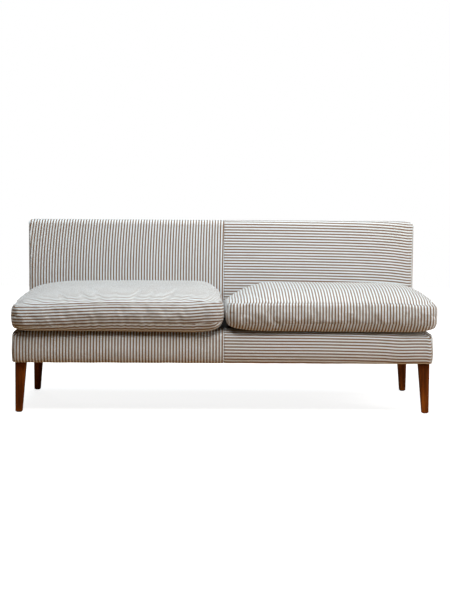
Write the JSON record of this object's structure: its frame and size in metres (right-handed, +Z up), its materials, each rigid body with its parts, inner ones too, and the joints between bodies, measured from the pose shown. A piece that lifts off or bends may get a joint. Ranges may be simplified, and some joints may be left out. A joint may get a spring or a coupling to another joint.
{
  "type": "banquette",
  "caption": "Armless upholstered banquette with a low tight back, a boxed base on tapered timber legs and loose box seat cushions with zipped covers.",
  "frame": {"origin": "centre of the overall box, on the floor under the glides", "axes": "+X along the width, to the right of someone who looks at the front; +Y from the front to the rear; +Z up"},
  "size_m": [1.7798, 0.7029, 0.79],
  "materials": {
    "striped_ticking": "matte",
    "platform_cloth": "matte",
    "dust_cloth": "matte",
    "stained_hardwood": "satin",
    "frame_timber": "matte",
    "bolt_steel": "satin",
    "insert_brass": "satin",
    "glide_plastic": "matte",
    "webbing": "matte",
    "hessian": "matte",
    "foam": "matte",
    "wadding": "matte",
    "zip_nylon": "matte",
    "slider_metal": "satin"
  },
  "bodies": {
    "frame": {"front_left_corner_post": "frame_timber", "front_right_corner_post": "frame_timber", "left_back_post": "frame_timber", "right_back_post": "frame_timber", "front_rail": "frame_timber", "rear_rail": "frame_timber", "left_side_rail": "frame_timber", "right_side_rail": "frame_timber", "centre_cross_rail": "frame_timber", "back_top_rail": "frame_timber", "back_lower_rail": "frame_timber", "back_centre_stud": "frame_timber", "front_left_leg": "stained_hardwood", "front_right_leg": "stained_hardwood", "rear_left_leg": "stained_hardwood", "rear_right_leg": "stained_hardwood", "leg_bolts": "bolt_steel", "leg_inserts": "insert_brass", "leg_glides": "glide_plastic", "seat_long_straps": "webbing", "seat_cross_straps": "webbing", "back_upright_straps": "webbing", "back_cross_straps": "webbing", "seat_hessian": "hessian", "back_hessian": "hessian", "deck_foam": "foam", "back_foam": "foam", "front_wadding": "wadding", "left_side_wadding": "wadding", "right_side_wadding": "wadding", "back_top_wadding": "wadding", "back_left_wadding": "wadding", "back_right_wadding": "wadding", "back_rear_wadding": "wadding", "base_left_cover": "striped_ticking", "base_right_cover": "striped_ticking", "base_left_side_cover": "striped_ticking", "base_right_side_cover": "striped_ticking", "back_left_cover": "striped_ticking", "back_right_cover": "striped_ticking", "back_left_side_panel": "striped_ticking", "back_right_side_panel": "striped_ticking", "outside_back_left": "striped_ticking", "outside_back_right": "striped_ticking", "deck_cloth": "platform_cloth", "dust_cloth": "dust_cloth"},
    "left_cushion": {"left_cushion_top_panel": "striped_ticking", "left_cushion_border": "striped_ticking", "left_cushion_bottom_panel": "striped_ticking", "left_cushion_pad": "wadding", "left_cushion_zip": "zip_nylon"},
    "right_cushion": {"right_cushion_top_panel": "striped_ticking", "right_cushion_border": "striped_ticking", "right_cushion_bottom_panel": "striped_ticking", "right_cushion_pad": "wadding", "right_cushion_zip": "zip_nylon"},
    "left_zip_slider": {"left_zip_slider": "slider_metal"},
    "right_zip_slider": {"right_zip_slider": "slider_metal"}
  },
  "joints": [
    {"name": "left_cushion_lift", "type": "slide", "parent": "frame", "child": "left_cushion", "axis": [0, 0, 1], "range_m": [0, 0.35]},
    {"name": "right_cushion_lift", "type": "slide", "parent": "frame", "child": "right_cushion", "axis": [0, 0, 1], "range_m": [0, 0.35]},
    {"name": "left_zip", "type": "slide", "parent": "left_cushion", "child": "left_zip_slider", "axis": [1, 0, 0], "range_m": [0, 0.64]},
    {"name": "right_zip", "type": "slide", "parent": "right_cushion", "child": "right_zip_slider", "axis": [1, 0, 0], "range_m": [0, 0.64]}
  ]
}
